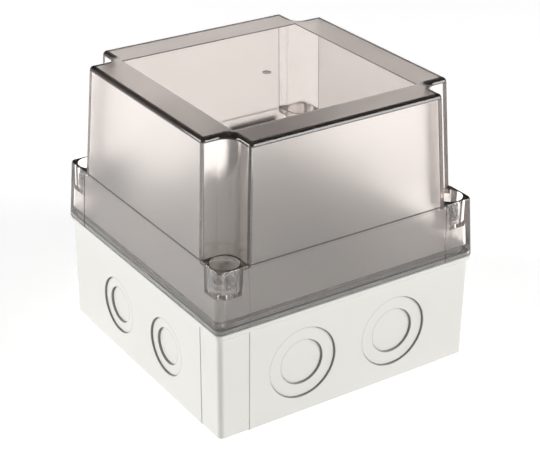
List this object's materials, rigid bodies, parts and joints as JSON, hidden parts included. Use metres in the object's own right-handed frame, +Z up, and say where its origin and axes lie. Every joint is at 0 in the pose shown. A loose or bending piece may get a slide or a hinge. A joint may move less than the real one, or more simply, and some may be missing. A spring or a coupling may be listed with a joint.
{
  "type": "hinged polycarbonate enclosure",
  "caption": "Square wall box for electrical gear: light grey base with stepped round knockouts and a tall, clear, smoke-tinted hinged cover held by captive screws in corner wells.",
  "frame": {"origin": "centre of the base's flat underside", "axes": "+X to the right seen from the front, +Y to the rear where the hinges are, +Z up through the cover"},
  "size_m": [0.188, 0.1975, 0.184],
  "materials": {
    "base": "fine satin texture, light grey",
    "cover": "clear with a warm smoke tint, polished top",
    "gasket": "foamed seal, pale grey",
    "cover_screw": "clear with a warm smoke tint",
    "seal": "soft, grey",
    "retaining_ring": "natural, slightly clear",
    "catch_plate": "turned",
    "cap": "satin, light grey",
    "clear_leaf": "clear with a warm smoke tint, as the cover",
    "hinge_leaf": "satin, light grey",
    "steel": "bright zinc or stainless"
  },
  "bodies": {
    "base_body": {"base": "base", "catch_plate_front_left": "catch_plate", "catch_plate_front_right": "catch_plate", "catch_plate_rear_left": "catch_plate", "catch_plate_rear_right": "catch_plate", "fixing_cap_front_left": "cap", "fixing_cap_front_right": "cap", "fixing_cap_rear_left": "cap", "fixing_cap_rear_right": "cap", "hinge_base_leaf_left": "hinge_leaf", "hinge_base_leaf_right": "hinge_leaf", "hinge_pin_left": "steel", "hinge_pin_right": "steel", "hinge_base_screws": "steel"},
    "lid": {"cover": "cover", "gasket": "gasket", "hinge_cover_leaf_left": "clear_leaf", "hinge_cover_leaf_right": "clear_leaf", "hinge_cover_screws": "steel", "screw_seal_front_left": "seal", "screw_seal_front_right": "seal", "screw_seal_rear_left": "seal", "screw_seal_rear_right": "seal"},
    "screw_front_left": {"cover_screw_front_left": "cover_screw", "retaining_ring_front_left": "retaining_ring"},
    "screw_front_right": {"cover_screw_front_right": "cover_screw", "retaining_ring_front_right": "retaining_ring"},
    "screw_rear_left": {"cover_screw_rear_left": "cover_screw", "retaining_ring_rear_left": "retaining_ring"},
    "screw_rear_right": {"cover_screw_rear_right": "cover_screw", "retaining_ring_rear_right": "retaining_ring"}
  },
  "joints": [
    {"name": "lid_hinge", "type": "hinge", "parent": "base_body", "child": "lid", "pos_m": [0, 0.099, 0.0724], "axis": [-1, 0, 0], "range_deg": [0, 110]},
    {"name": "turn_front_left", "type": "hinge", "parent": "lid", "child": "screw_front_left", "pos_m": [-0.0815, -0.0815, 0.096], "axis": [0, 0, -1], "range_deg": [0, 90]},
    {"name": "turn_front_right", "type": "hinge", "parent": "lid", "child": "screw_front_right", "pos_m": [0.0815, -0.0815, 0.096], "axis": [0, 0, -1], "range_deg": [0, 90]},
    {"name": "turn_rear_left", "type": "hinge", "parent": "lid", "child": "screw_rear_left", "pos_m": [-0.0815, 0.0815, 0.096], "axis": [0, 0, -1], "range_deg": [0, 90]},
    {"name": "turn_rear_right", "type": "hinge", "parent": "lid", "child": "screw_rear_right", "pos_m": [0.0815, 0.0815, 0.096], "axis": [0, 0, -1], "range_deg": [0, 90]}
  ]
}
